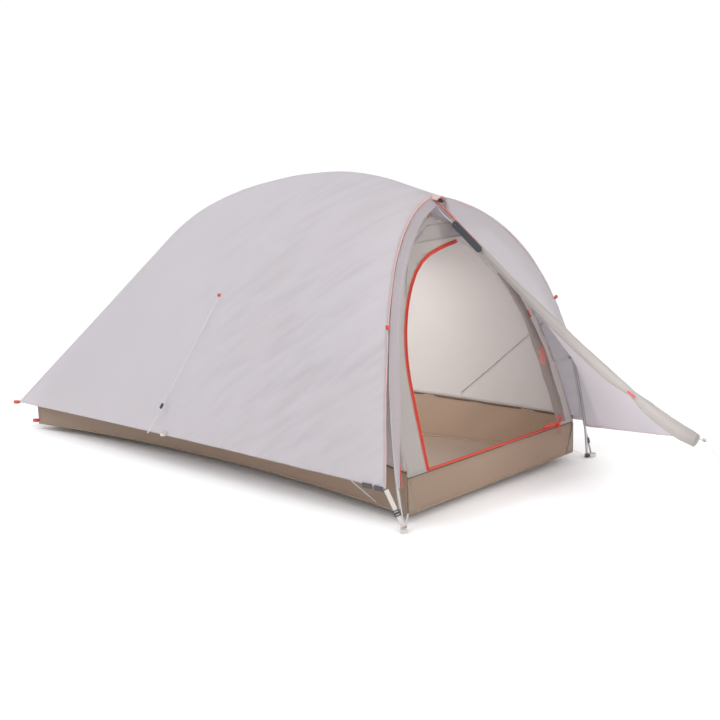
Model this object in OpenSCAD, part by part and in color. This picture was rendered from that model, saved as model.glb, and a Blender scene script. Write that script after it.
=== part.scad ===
// One-person semi-freestanding hiking tent: a Y-shaped pole set, a hung inner
// with a bathtub floor, and a two-skin fly whose left door half is rolled up.
// +Z is up, -Y is the door end, the origin is under the middle of the tent.

/* [Floor] */
// Length of the floor, door end to foot end
floor_length = 2180; // [1700:10:2700]
// Width of the floor at the door end
floor_front = 990; // [760:10:1250]
// Width of the floor at the foot end
floor_rear = 805; // [620:10:1000]
// Height of the tub's front wall, which is the door's sill
tub_height = 145; // [110:5:190]
// Height of the tub's side walls at the front
side_height = 165; // [120:5:200]
// Height of the tub at the rear
rear_height = 120; // [100:5:140]
// How much higher the floor's sides stand half-way along than a plain taper would give
side_arch = 49; // [0:1:80]
// How far the middle of each long edge is drawn in
side_bow = 90; // [0:5:100]
// How far the edges of the floor are pulled off the ground
edge_lift = 28; // [0:2:40]

/* [Poles] */
// Height of the hub where the three poles meet
hub_height = 984; // [800:10:1200]
// Distance of the hub behind the door end of the floor
hub_back = 262; // [200:5:320]
// Height of the top of the spine over the hub
crown_rise = 94; // [60:2:130]
// Distance between the two front feet
foot_spread = 1101; // [900:10:1360]
// Distance of the front feet ahead of the floor
foot_ahead = 28; // [10:2:50]
// Distance of the rear foot behind the floor
foot_behind = 34; // [30:1:60]
// Outside diameter of the pole tube
pole_d = 9; // [8:0.5:11]
// Wall of the pole tube
pole_wall = 0.7; // [0.6:0.1:1]
// Diameter of the shock cord
shock_cord_d = 2.6; // [2:0.2:3]
// Length of the joining ferrules
ferrule_length = 80; // [50:5:100]

/* [Fly] */
// Distance of the fly's cloth from the middle of the poles
fly_gap = 13; // [12:0.5:20]
// Height of the fly's hem
hem_height = 131; // [90:5:170]
// Distance of the rear hem corners behind the floor
hem_behind = 118; // [100:2:200]
// Distance between the rear hem corners
hem_rear = 842; // [640:10:1100]
// Distance of the porch tip ahead of the floor
tip_ahead = 727; // [600:10:850]
// Height of the porch tip
tip_height = 272; // [180:2:300]
// How far the porch's cloth hollows between the pole and the ridge
porch_hollow = 75; // [40:5:100]
// How much lower the porch's hem is than the side's where they meet
porch_drop = 22; // [0:2:40]
// Thickness of all the cloth
cloth = 1.2; // [0.8:0.1:2]
// Width of the flap that covers the fly's zip
flap_width = 40; // [25:1:55]
// Fattest radius of the rolled-up door half
roll_r = 20; // [14:1:26]

/* [Inner] */
// How far the inner hangs below the poles
clip_drop = 42; // [36:1:60]
// Width of the door at its sill
door_width = 780; // [600:10:860]
// Height of the door along the front wall
door_height = 730; // [580:10:770]
// Radius of the rolled-up inner door
door_roll_r = 16; // [10:1:22]

/* [Fittings] */
// Diameter of a zip's row of teeth
zip_d = 4; // [3:0.5:5]
// Length of a zip slider
slider_length = 13; // [10:1:18]
// Width of the webbing straps
strap_width = 14; // [10:1:20]
// Thickness of the webbing
strap_t = 1.6; // [1:0.2:2]
// Inside radius of the loops that take a stake
stake_r = 9; // [6:1:12]
// Diameter of the guylines
guy_d = 2.4; // [2:0.2:3]
// Length of the stiff strut on the fly's door
strut_length = 135; // [90:5:160]
// Width of the stiff strut
strut_width = 24; // [18:1:30]
// Length of the toggles
toggle_length = 24; // [18:1:30]

/* [Hidden] */

play = 0.15;
seam = 0.6;
pole_r = pole_d / 2;
bore_r = pole_r - pole_wall;
centre_y = (floor_length + hem_behind + 14 - tip_ahead) / 2;
arc_fn = 200;
arc_gap = 0.02;

// ---- Arcs. Every pole is a chain of arcs that turn clockwise: [centre, radius, start, sweep].
function heading(a) = [cos(a), sin(a)];
function slope(p, q) = atan2(q[1] - p[1], q[0] - p[0]);
// The arc that leaves p at heading a and passes through q
function arc_from(p, a, q) =
    let (off = slope(p, q) - a, r = norm(q - p) / (2 * abs(sin(off))))
    [p + r * heading(a - 90), r, a + 90, 2 * off];
function end_heading(p, a, q) = 2 * slope(p, q) - a;
// Two arcs that join p at heading a to q at heading b
function biarc(p, a, q, b) =
    let (v = q - p, s = heading(a) + heading(b), k = 2 * (1 - heading(a) * heading(b)),
        d = (sqrt(pow(v * s, 2) + k * (v * v)) - v * s) / k,
        j = (p + q + d * (heading(a) - heading(b))) / 2)
    [arc_from(p, a, j), arc_from(j, end_heading(p, a, j), q)];
function arc_length(a) = a[1] * abs(a[3]) * PI / 180;
function chain_length(arcs, i = 0) = i == len(arcs) ? 0 : arc_length(arcs[i]) + chain_length(arcs, i + 1);
function chain_start(arcs, i) = i == 0 ? 0 : arc_length(arcs[i - 1]) + chain_start(arcs, i - 1);
// Angle of the outward normal, and the point that lies `off` outside the chain, at distance s
function normal_at(arcs, s, i = 0) =
    let (l = arc_length(arcs[i]))
    s > l && i < len(arcs) - 1 ? normal_at(arcs, s - l, i + 1) : arcs[i][2] + arcs[i][3] * s / l;
function centre_at(arcs, s, i = 0) =
    let (l = arc_length(arcs[i]))
    s > l && i < len(arcs) - 1 ? centre_at(arcs, s - l, i + 1) : arcs[i];
function point_at(arcs, s, off = 0) =
    let (a = centre_at(arcs, s)) a[0] + (a[1] + off) * heading(normal_at(arcs, s));

// A round tube or rod along the chain from s0 to s1, drawn in the chain's own plane
module bent_tube(arcs, s0, s1, r_out, r_in = 0, off = 0) {
    for (i = [0 : len(arcs) - 1]) {
        a = arcs[i];
        l = arc_length(a);
        f0 = max(0, (s0 - chain_start(arcs, i)) / l);
        f1 = min(1 - arc_gap / l, (s1 - chain_start(arcs, i)) / l);
        if (f1 - f0 > 0.0005)
            translate([a[0][0], a[0][1], 0]) rotate([0, 0, a[2] + a[3] * f1])
                rotate_extrude(angle = -a[3] * (f1 - f0), $fn = arc_fn)
                    translate([a[1] + off, 0]) difference() {
                        circle(r = r_out, $fn = 24);
                        if (r_in > 0) circle(r = r_in, $fn = 24);
                    }
    }
}

// ---- The spine pole, in the plane x = 0; its 2D points are [y, z]
foot_z = 4;
spine_hub = [hub_back, hub_height];
spine_crown = [hub_back + floor_length * 0.204, hub_height + crown_rise];
spine_shoulder = [hub_back + floor_length * 0.504, hub_height - 4];
spine_foot = [floor_length + foot_behind, foot_z];
spine = concat(biarc(spine_hub, 22, spine_crown, 0), biarc(spine_crown, 0, spine_shoulder, -17),
    biarc(spine_shoulder, -17, spine_foot, -83));
spine_length = chain_length(spine);
function spine_xyz(s, off = 0, x = 0) = let (p = point_at(spine, s, off)) [x, p[0], p[1]];
module in_spine_plane() { multmatrix([[0, 0, 1, 0], [1, 0, 0, 0], [0, 1, 0, 0]]) children(); }

// ---- The right leg pole, in a leaning plane through its foot, its knee and the hub
leg_foot = [foot_spread / 2, -foot_ahead, foot_z];
leg_hub = [0, hub_back, hub_height];
leg_knee = [foot_spread * 0.392, hub_back * 0.37, hub_height * 0.69];
function unit(v) = v / norm(v);
leg_x = unit(leg_hub - leg_foot);
leg_z = unit(cross(leg_x, leg_knee - leg_foot));
leg_y = cross(leg_z, leg_x);
knee_2d = [(leg_knee - leg_foot) * leg_x, (leg_knee - leg_foot) * leg_y];
knee_heading = 2.35;
leg_foot_heading = 2 * slope([0, 0], knee_2d) - knee_heading;
leg = [arc_from([0, 0], leg_foot_heading, knee_2d),
    arc_from(knee_2d, knee_heading, [norm(leg_hub - leg_foot), 0])];
leg_length = chain_length(leg);
// `fore` is a distance ahead of the leg's plane, towards the door
function leg_plane(p, fore = 0) = leg_foot + leg_x * p[0] + leg_y * p[1] - leg_z * fore;
function leg_xyz(s, off = 0, fore = 0) = leg_plane(point_at(leg, s, off), fore);
function leg_dir(s) = let (a = normal_at(leg, s) - 90) leg_x * cos(a) + leg_y * sin(a);
function leg_out(s) = let (a = normal_at(leg, s)) leg_x * cos(a) + leg_y * sin(a);
module in_leg_plane() {
    multmatrix([for (i = [0 : 2]) [leg_x[i], leg_y[i], leg_z[i], leg_foot[i]]]) children();
}
// The distance along the leg at which its fly cloth is z high
function leg_at_height(z, lo = 0, hi = leg_length * 0.9, n = 14) =
    let (mid = (lo + hi) / 2)
    n == 0 ? mid : leg_xyz(mid, fly_gap)[2] < z ? leg_at_height(z, mid, hi, n - 1)
    : leg_at_height(z, lo, mid, n - 1);

// ---- Placing
module in_place() { translate([0, -centre_y, 0]) children(); }
module both_sides() { children(); mirror([1, 0, 0]) children(); }
function flip(p) = [-p[0], p[1], p[2]];
function flip_all(pts) = [for (p = pts) flip(p)];
function mix(a, b, t) = a + (b - a) * t;
// Puts a shape's X along `along` and its Z as near `facing` as that allows
module aim(at, along, facing) {
    x = unit(along);
    y = unit(cross(facing, x));
    z = cross(x, y);
    multmatrix([for (i = [0 : 2]) [x[i], y[i], z[i], at[i]]]) children();
}
// A flat strap from p to q
module strap(p, q, facing, w = strap_width, t = strap_t) {
    aim(p, q - p, facing) translate([0, -w / 2, -t / 2]) cube([norm(q - p), w, t]);
}

// ---- Cloth. A grid is a list of rows of points; a panel is the grid given a thickness.
function grid_normal(g, i, j) =
    let (n = len(g) - 1, m = len(g[0]) - 1)
    unit(cross(g[min(i + 1, n)][j] - g[max(i - 1, 0)][j], g[i][min(j + 1, m)] - g[i][max(j - 1, 0)]));
module panel(g, t = cloth) {
    n = len(g);
    m = len(g[0]);
    top = [for (i = [0 : n - 1], j = [0 : m - 1]) g[i][j] + grid_normal(g, i, j) * t / 2];
    low = [for (i = [0 : n - 1], j = [0 : m - 1]) g[i][j] - grid_normal(g, i, j) * t / 2];
    nm = n * m;
    rim = concat([for (j = [0 : m - 1]) j], [for (i = [1 : n - 1]) i * m + m - 1],
        [for (j = [m - 2 : -1 : 0]) (n - 1) * m + j], [for (i = [n - 2 : -1 : 1]) i * m]);
    quads = [for (i = [0 : n - 2], j = [0 : m - 2]) [i * m + j, i * m + j + 1, (i + 1) * m + j + 1, (i + 1) * m + j]];
    polyhedron(convexity = 6, points = concat(top, low), faces = concat(
        [for (q = quads) [q[0], q[1], q[2]]], [for (q = quads) [q[0], q[2], q[3]]],
        [for (q = quads) [nm + q[2], nm + q[1], nm + q[0]]], [for (q = quads) [nm + q[3], nm + q[2], nm + q[0]]],
        [for (k = [0 : len(rim) - 1]) let (a = rim[k], b = rim[(k + 1) % len(rim)]) [nm + a, nm + b, b]],
        [for (k = [0 : len(rim) - 1]) let (a = rim[k], b = rim[(k + 1) % len(rim)]) [nm + a, b, a]]));
}
// A surface that fills four edges: low and high run along it, front and back close it
function patch(low, high, front, back) =
    let (n = len(low) - 1, m = len(front) - 1)
    [for (i = [0 : n]) [for (j = [0 : m]) let (u = i / n, v = j / m)
        mix(low[i], high[i], v) + mix(front[j], back[j], u)
        - mix(mix(low[0], low[n], u), mix(high[0], high[n], u), v)]];
// A ruled surface between two edges
function ruled(a, b, m) = [for (i = [0 : len(a) - 1]) [for (j = [0 : m]) mix(a[i], b[i], j / m)]];
// A round cord or roll: rings of `sides` points round each point of the path
function path_dir(path, i) = unit(path[min(i + 1, len(path) - 1)] - path[max(i - 1, 0)]);
module swept(path, radii, sides = 8) {
    n = len(path);
    ring = [for (i = [0 : n - 1], k = [0 : sides - 1])
        let (d = path_dir(path, i), side = unit(cross(d, [0.31, 0.17, 0.94])), up = cross(side, d),
            a = 360 * k / sides)
        path[i] + radii[i] * (side * cos(a) + up * sin(a))];
    polyhedron(convexity = 6, points = ring, faces = concat(
        [[for (k = [0 : sides - 1]) k]], [[for (k = [sides - 1 : -1 : 0]) (n - 1) * sides + k]],
        [for (i = [0 : n - 2], k = [0 : sides - 1]) let (a = i * sides + k, b = i * sides + (k + 1) % sides)
            [a, a + sides, b + sides]],
        [for (i = [0 : n - 2], k = [0 : sides - 1]) let (a = i * sides + k, b = i * sides + (k + 1) % sides)
            [a, b + sides, b]]));
}

// ---- The floor. Its outline is drawn in along both long sides.
tub_slope = 0.305;
function half_width(y) = let (u = y / floor_length)
    mix(floor_front, floor_rear, u) / 2 - side_bow * 4 * u * (1 - u);
floor_rows = 16;
// Rows run from front to rear; across, the outer strips climb to the lifted edge
function floor_grid(inset) =
    [for (i = [0 : floor_rows]) let (y = mix(inset, floor_length - inset, i / floor_rows),
            e = min(1, min(y, floor_length - y) / 160))
        [for (k = [-1, -0.87, -0.72, -0.36, 0, 0.36, 0.72, 0.87, 1])
            let (d = min(e, (1 - abs(k)) / 0.28))
            [k * (half_width(y) - inset), y, cloth / 2 + edge_lift * pow(1 - min(1, d), 2)]]];
function tub_edge(z, n = floor_rows, lean = 0) =
    [for (i = [0 : n]) let (y = mix(seam, floor_length - seam, i / n)) [half_width(y) + lean, y, z]];
wall_low = edge_lift + cloth + seam;

module tub_floor() { color("tan") in_place() panel(floor_grid(seam)); }
function tub_top(n = floor_rows, raise = 0) = let (low = tub_edge(raise, n))
    [for (i = [0 : n]) low[i] + [0, 0, mix(side_height, rear_height, pow(i / n, 2)) + side_arch * sin(180 * i / n)]];
module tub_right_wall() { color("tan") in_place() panel(ruled(tub_edge(wall_low), tub_top(), 3)); }
module tub_left_wall() { mirror([1, 0, 0]) tub_right_wall(); }
module cross_wall(y, width, cloth_y, height) {
    translate([-width / 2 + cloth + seam, y - cloth_y, wall_low])
        cube([width - 2 * (cloth + seam), cloth, height - wall_low]);
}
module tub_front_wall() { color("tan") in_place() cross_wall(0, floor_front, 0, tub_height); }
module tub_rear_wall() { color("tan") in_place() cross_wall(floor_length, floor_rear, cloth, rear_height); }

// ---- The inner's front wall is flat and leans back from the sill. Its own 2D points are [x, w].
sill = tub_height + 2 * seam;
wall_run = norm([tub_slope, 1]);
wall_lean = atan(tub_slope);
module on_front_wall() { translate([0, 0, sill]) rotate([90 - wall_lean, 0, 0]) children(); }
function wall_xyz(p, out = 0) =
    [p[0], p[1] * sin(wall_lean) - out * cos(wall_lean), sill + p[1] * cos(wall_lean) + out * sin(wall_lean)];
inner_top = hub_height - clip_drop - 27;
wall_height = (inner_top - sill) / cos(wall_lean);
edge_steps = 14;
// The slanting edge follows the leg pole, clip_drop inside it, from the floor's corner to the top
edge_s0 = leg_at_height(sill);
function edge_2d(v) =
    let (s = mix(edge_s0, leg_length, v), p = leg_xyz(s, -clip_drop), p0 = leg_xyz(edge_s0, -clip_drop),
        p1 = leg_xyz(leg_length, -clip_drop))
    [max(seam, p[0] - p1[0] * v + (floor_front / 2 - 3 * cloth - p0[0]) * (1 - v)),
        (p[2] - p0[2]) / (p1[2] - p0[2]) * wall_height];
front_edge = [for (i = [0 : edge_steps]) edge_2d(i / edge_steps)];

// The door's outline: a leaning jamb, a tight shoulder and a flatter arc over to the top
jamb = [door_width * 0.474, door_height * 0.386];
shoulder = [door_width * 0.278, door_height * 0.845];
door_top = [60, door_height - 8];
door_arcs = concat(biarc([-jamb[0], jamb[1]], 84, [-shoulder[0], shoulder[1]], 46),
    biarc([-shoulder[0], shoulder[1]], 46, door_top, 8));
far_arcs = concat(biarc(door_top, -6, shoulder, -46), biarc(shoulder, -46, jamb, -84));
door_arcs_length = chain_length(door_arcs);
far_arcs_length = chain_length(far_arcs);
arc_steps = 12;
function door_outline(grow = 0) = concat([[-door_width / 2 - grow, 0]],
    [for (i = [0 : arc_steps]) point_at(door_arcs, door_arcs_length * i / arc_steps, grow)],
    [for (i = [1 : arc_steps]) point_at(far_arcs, far_arcs_length * i / arc_steps, grow)],
    [[door_width / 2 + grow, 0]]);
tape_width = 9;
// The sill tape lies below the doorway's cut, so the cut starts this far up
sill_tape = 2 * tape_width;
module wall_cut(grow, low) {
    intersection() {
        polygon(door_outline(grow));
        translate([-door_width, low]) square([2 * door_width, 2 * door_height]);
    }
}
module inner_front_wall() {
    color("gainsboro") in_place() on_front_wall() linear_extrude(cloth) difference() {
        polygon(concat(front_edge, [for (i = [edge_steps : -1 : 0]) [-front_edge[i][0], front_edge[i][1]]]));
        wall_cut(0, -1);
    }
}
module inner_zip_tape() {
    color("tomato") in_place() on_front_wall() translate([0, 0, cloth + seam]) linear_extrude(cloth)
        difference() {
            wall_cut(tape_width, seam);
            wall_cut(-tape_width / 2, tape_width);
            translate([door_top[0], sill_tape]) square(2 * door_height);
        }
}
// The teeth stand on the tape: up the left jamb, over the top, and straight along the sill
coil_out = 2 * cloth + 2 * seam + zip_d / 2;
coil_low = tape_width / 2;
module inner_zip_coil() {
    color("tomato") in_place() on_front_wall() translate([0, 0, coil_out]) {
        bent_tube(door_arcs, 0, door_arcs_length, zip_d / 2);
        sill_corner = [-door_width / 2, coil_low];
        reach = [-jamb[0], jamb[1]] - sill_corner;
        jamb_foot = sill_corner + unit(reach) * (zip_d / 2 + 0.2);
        translate([jamb_foot[0], jamb_foot[1], 0]) rotate([0, 90, atan2(reach[1], reach[0])])
            cylinder(d = zip_d, h = norm([-jamb[0], jamb[1]] - jamb_foot) - 0.3, $fn = 16);
        translate([-door_width / 2, coil_low, 0]) rotate([0, 90, 0])
            cylinder(d = zip_d, h = door_width, $fn = 16);
    }
}

// ---- Zip sliders: a channel that straddles the teeth, with an eye on top for the pull
slider_play = 0.4;
slider_wall = 1.6;
slider_w = zip_d + 2 * (slider_play + slider_wall);
slider_top = zip_d / 2 + slider_play + slider_wall;
slider_skirt = zip_d / 2 + 0.2;
eye_r = 2.2;
// X runs along the teeth, Z points away from the cloth, and the teeth's middle is the origin
module slider() {
    difference() {
        translate([-slider_length / 2, -slider_w / 2, -slider_skirt])
            cube([slider_length, slider_w, slider_skirt + slider_top]);
        translate([-slider_length, -slider_w / 2 + slider_wall, -slider_skirt - 1])
            cube([2 * slider_length, slider_w - 2 * slider_wall, slider_skirt + 1 + zip_d / 2 + slider_play]);
    }
    translate([0, -slider_w / 2, slider_top + eye_r - 0.4]) rotate([-90, 0, 0])
        difference() {
            cylinder(r = eye_r + 1, h = slider_w, $fn = 24);
            translate([0, 0, -1]) cylinder(r = eye_r, h = slider_w + 2, $fn = 24);
        }
}
// A pull: a ring that hangs in the eye's front, a cord and a moulded end. It hangs along -Z.
pull_length = 34;
module pull() {
    rotate([90, 0, 0]) difference() {
        cylinder(r = 3, h = 1.4, center = true, $fn = 24);
        cylinder(r = 1.4, h = 3, center = true, $fn = 24);
    }
    translate([0, 0, -pull_length + 10]) cylinder(r = 0.9, h = pull_length - 12.6, $fn = 16);
    translate([0, 0, -pull_length]) cylinder(r = 1.8, h = 11, $fn = 16);
}

// The door is unzipped, so its slider rests at the far end of the sill
slider_rest = door_width / 2 - 14;
module inner_zip_slider() {
    color("tomato") in_place() on_front_wall() translate([slider_rest, coil_low, coil_out]) slider();
}
pull_gap = 4;
pull_stand = coil_out + slider_top + 2 * eye_r + pull_gap;
inner_pull_at = wall_xyz([slider_rest, coil_low], pull_stand);
module inner_zip_pull() { color("tomato") in_place() translate(inner_pull_at) pull(); }

// ---- The inner's side and rear walls hang from the spine
apex_s = spine_length * 0.635;
inner_start = 12;
panel_steps = 16;
function inner_ridge(u) = spine_xyz(mix(inner_start, apex_s, u), -clip_drop, seam);
inner_hub = wall_xyz([seam, wall_height - seam]);
inner_high = [for (i = [0 : panel_steps]) let (u = i / panel_steps)
    inner_ridge(u) + (inner_hub + [0, 3 * seam, 0] - inner_ridge(0)) * pow(1 - u, 14)];
inner_top_edge = tub_top(panel_steps, 2 * seam);
inner_low = [for (i = [0 : panel_steps])
    inner_top_edge[i] + [0, i == 0 ? (side_height - tub_height) * tub_slope + 2 * seam : 0, 0]];
inner_front = [for (i = [0 : edge_steps]) let (v = i / edge_steps, p = wall_xyz(edge_2d(v)))
    v == 0 ? inner_low[0] : v == 1 ? inner_high[0] : p + [0, 3 * seam, 0]];
inner_back = [for (i = [0 : edge_steps]) mix(inner_low[panel_steps], inner_high[panel_steps], i / edge_steps)];
inner_grid = patch(inner_low, inner_high, inner_front, inner_back);

module inner_right_side() { color("whitesmoke") in_place() panel(inner_grid); }
module inner_left_side() { mirror([1, 0, 0]) inner_right_side(); }

// A wall between a slanting edge and its mirror image, whose middle follows another line
across = [-1, -0.75, -0.5, -0.25, 0, 0.25, 0.5, 0.75, 1];
function bellied(edge, middle, gap) =
    [for (i = [0 : len(edge) - 1]) [for (k = across)
        let (e = edge[i], c = middle[i]) [k * (e[0] - gap), mix(c[1], e[1], k * k), mix(c[2], e[2], k * k)]]];
function line(p, q, n, stop = 1) = [for (i = [0 : n]) mix(p, q, stop * i / n)];
// The point where the line through p at heading a meets the line through q at heading b
function meet(p, a, q, b) =
    let (h = heading(a), k = heading(b), d = q - p, t = (d[0] * k[1] - d[1] * k[0]) / (h[0] * k[1] - h[1] * k[0]))
    p + t * h;
function bend(p, c, q, t) = pow(1 - t, 2) * p + 2 * t * (1 - t) * c + t * t * q;
rear_stop = 0.95;
rear_steps = 12;
inner_rear_edge = line(inner_low[panel_steps], inner_high[panel_steps], rear_steps, rear_stop);
inner_rear_mid = [for (p = inner_rear_edge) [0, p[1] - 6 * seam, p[2]]];
module inner_rear_wall() { color("whitesmoke") in_place() panel(bellied(inner_rear_edge, inner_rear_mid, 3 * seam)); }

// The inner door, unzipped and rolled up on its right-hand jamb, with a toggle tie half way
door_roll_out = cloth * 2 + seam * 3 + door_roll_r;
jamb_low = [door_width / 2, 0];
door_roll_path = concat([for (k = [0.08, 0.3, 0.55, 0.8]) wall_xyz(mix(jamb_low, jamb, k), door_roll_out)],
    [for (k = [1, 0.87, 0.74, 0.62, 0.5, 0.4]) wall_xyz(point_at(far_arcs, far_arcs_length * k), door_roll_out)]);
door_roll_radii = [for (i = [0 : 9]) door_roll_r * lookup(i, [[0, 0.9], [3, 1], [5, 0.9], [6, 0.6], [9, 0.4]])];
module inner_door_roll() { color("silver") in_place() swept(door_roll_path, door_roll_radii, 10); }
// Toggle: a bar with a waist, lying along X, that turns about Z
module toggle() {
    rotate([0, 90, 0]) {
        translate([0, 0, -toggle_length / 2]) cylinder(r = 2.6, h = toggle_length, $fn = 24);
        for (e = [-1, 1]) translate([0, 0, e * toggle_length / 2]) sphere(r = 3.2, $fn = 24);
    }
}
door_toggle_i = 6;
door_roll_dir = unit(door_roll_path[door_toggle_i + 1] - door_roll_path[door_toggle_i - 1]);
wall_out = wall_xyz([0, 0], 1) - wall_xyz([0, 0]);
door_toggle_at = door_roll_path[door_toggle_i] + wall_out * (door_roll_radii[door_toggle_i] + 6);
module inner_door_toggle() {
    color("tomato") in_place() aim(door_toggle_at, door_roll_dir, wall_out) toggle();
}

// ---- Poles: tubes in sections that butt over ferrules, with one shock cord in each branch
socket_start = 12;
tip_pin = 9;
tip_collar = 5;
tube_start = tip_pin + tip_collar;
spine_end = spine_length - tube_start;
spine_parts = 6;
leg_parts = 3;
function spine_cut(i) = mix(socket_start, spine_end, i / spine_parts);
function leg_cut(i) = mix(tube_start, leg_length - socket_start, i / leg_parts);
module spine_section(i) {
    color("darkgray") in_place() in_spine_plane()
        bent_tube(spine, spine_cut(i - 1), spine_cut(i) - 0.2, pole_r, bore_r);
}
module spine_pole_1() { spine_section(1); }
module spine_pole_2() { spine_section(2); }
module spine_pole_3() { spine_section(3); }
module spine_pole_4() { spine_section(4); }
module spine_pole_5() { spine_section(5); }
module spine_pole_6() { spine_section(6); }
module leg_section(i) {
    color("darkgray") in_place() in_leg_plane()
        bent_tube(leg, leg_cut(i - 1), leg_cut(i) - 0.2, pole_r, bore_r);
}
module right_leg_1() { leg_section(1); }
module right_leg_2() { leg_section(2); }
module right_leg_3() { leg_section(3); }
module left_leg_1() { mirror([1, 0, 0]) leg_section(1); }
module left_leg_2() { mirror([1, 0, 0]) leg_section(2); }
module left_leg_3() { mirror([1, 0, 0]) leg_section(3); }

ferrule_r = bore_r - 0.05;
ferrule_bore = shock_cord_d / 2 + 0.3;
module pole_ferrules() {
    color("silver") in_place() {
        in_spine_plane() for (i = [1 : spine_parts - 1])
            bent_tube(spine, spine_cut(i) - ferrule_length / 2, spine_cut(i) + ferrule_length / 2, ferrule_r, ferrule_bore);
        both_sides() in_leg_plane() for (i = [1 : leg_parts - 1])
            bent_tube(leg, leg_cut(i) - ferrule_length / 2, leg_cut(i) + ferrule_length / 2, ferrule_r, ferrule_bore);
    }
}
plug_length = 20;
module shock_cords() {
    color("dimgray") in_place() {
        in_spine_plane() bent_tube(spine, socket_start, spine_end - plug_length - 1, shock_cord_d / 2);
        both_sides() in_leg_plane()
            bent_tube(leg, tube_start + plug_length + 1, leg_length - socket_start, shock_cord_d / 2);
    }
}
// Each tip has a pin that stands in the corner's cup, a collar, and a plug in the tube
pin_r = 2.8;
module tip(arcs, foot, up) {
    bent_tube(arcs, min(foot, foot + up * tip_pin), max(foot, foot + up * tip_pin), pin_r);
    bent_tube(arcs, min(foot + up * tip_pin, foot + up * tube_start), max(foot + up * tip_pin, foot + up * tube_start),
        pole_r + 0.4);
    bent_tube(arcs, min(foot + up * tube_start, foot + up * (tube_start + plug_length)),
        max(foot + up * tube_start, foot + up * (tube_start + plug_length)), ferrule_r);
}
module pole_tips() {
    color("gray") in_place() {
        in_spine_plane() tip(spine, spine_length, -1);
        both_sides() in_leg_plane() tip(leg, 0, 1);
    }
}
cup_r = 9;
cup_height = 11;
module cup(at) { translate([at[0], at[1], 0]) cylinder(r = cup_r, h = cup_height, $fn = 48); }
module right_foot_cup() {
    color("dimgray") in_place() difference() {
        cup(leg_foot);
        in_leg_plane() bent_tube(leg, 0, tip_pin - 0.2, pin_r + play);
        in_leg_plane() bent_tube(leg, tip_pin - 0.5, 3 * tip_pin, pole_r + 0.4 + play);
    }
}
module left_foot_cup() { mirror([1, 0, 0]) right_foot_cup(); }
module rear_foot_cup() {
    color("dimgray") in_place() difference() {
        cup(spine_xyz(spine_length));
        in_spine_plane() bent_tube(spine, spine_length - tip_pin + 0.2, spine_length, pin_r + play);
        in_spine_plane() bent_tube(spine, spine_length - 3 * tip_pin, spine_length - tip_pin + 0.5, pole_r + 0.4 + play);
    }
}
// The hub: a moulded block with three straight sockets, each on the chord of its pole's end
hub_r = 10;
hub_thick = 18;
socket_end = 38;
socket_bore = pole_r + 0.4;
socket_r = socket_bore + 1.6;
module rod_between(p, q, r, before, after, sides) {
    aim(p, q - p, [0.1, 0.2, 1]) rotate([0, 90, 0]) translate([0, 0, -before])
        cylinder(r = r, h = norm(q - p) + before + after, $fn = sides);
}
module spine_socket(r, before, after, sides) {
    rod_between(spine_xyz(socket_start), spine_xyz(socket_end), r, before, after, sides);
}
module leg_sockets(r, before, after, sides) {
    both_sides() rod_between(leg_xyz(leg_length - socket_start), leg_xyz(leg_length - socket_end), r, before, after, sides);
}
module hub() {
    color("dimgray") in_place() difference() {
        union() {
            translate(leg_hub - [0, 0, hub_thick * 0.7]) cylinder(r = hub_r, h = hub_thick, $fn = 12);
            spine_socket(socket_r, socket_start - 4, 0, 12);
            leg_sockets(socket_r, socket_start - 4, 0, 12);
        }
        spine_socket(socket_bore, 0.4, 5, 48);
        leg_sockets(socket_bore, 0.4, 5, 48);
    }
}

// ---- Clips snap round the poles and carry the inner on short webbing tabs
clip_r = pole_r + 0.3;
clip_wall = 1.5;
clip_length = 10;
clip_reach = 15;
module clip(at, along, toward) {
    aim(at, along, toward) {
        difference() {
            rotate([0, 90, 0]) translate([0, 0, -clip_length / 2])
                cylinder(r = clip_r + clip_wall, h = clip_length, $fn = 32);
            rotate([0, 90, 0]) translate([0, 0, -clip_length])
                cylinder(r = clip_r, h = 2 * clip_length, $fn = 32);
            translate([-clip_length, clip_r * 0.35, -2 * clip_r]) cube([2 * clip_length, 2 * clip_r, 2 * clip_r]);
        }
        translate([-clip_length / 2, -0.8, clip_r + clip_wall / 2]) cube([clip_length, 1.6, clip_reach - clip_r - clip_wall / 2]);
    }
}
spine_clips = [for (k = [0.07, 0.19, 0.31, 0.43, 0.56]) k * spine_length];
leg_clips = [for (k = [0.3, 0.52, 0.74]) k * leg_length];
function leg_clip_to(s) = wall_xyz(edge_2d((s - edge_s0) / (leg_length - edge_s0))) + [0, 6 * seam, 0];
module pole_clips() {
    color("dimgray") in_place() {
        for (s = spine_clips) clip(spine_xyz(s), spine_xyz(s + 1) - spine_xyz(s), spine_xyz(s, -1) - spine_xyz(s));
        both_sides() for (s = leg_clips) clip(leg_xyz(s), leg_dir(s), leg_clip_to(s) - leg_xyz(s));
    }
}
module clip_tabs() {
    color("dimgray") in_place() {
        for (s = spine_clips)
            strap(spine_xyz(s, -clip_reach - seam), spine_xyz(s, -clip_drop + 3), [1, 0, 0], clip_length, strap_t);
        both_sides() for (s = leg_clips) {
            toward = unit(leg_clip_to(s) - leg_xyz(s));
            side = cross(toward, leg_dir(s));
            strap(leg_xyz(s) + toward * (clip_reach + seam), leg_clip_to(s) - toward * 4, side, clip_length, strap_t);
        }
    }
}

// ---- The fly: two sides from the spine to the hem, a rear, and the right half of the porch
hem_s = leg_at_height(hem_height);
fly_hub = leg_hub + [seam, 0, fly_gap];
leg_steps = 20;
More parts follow.
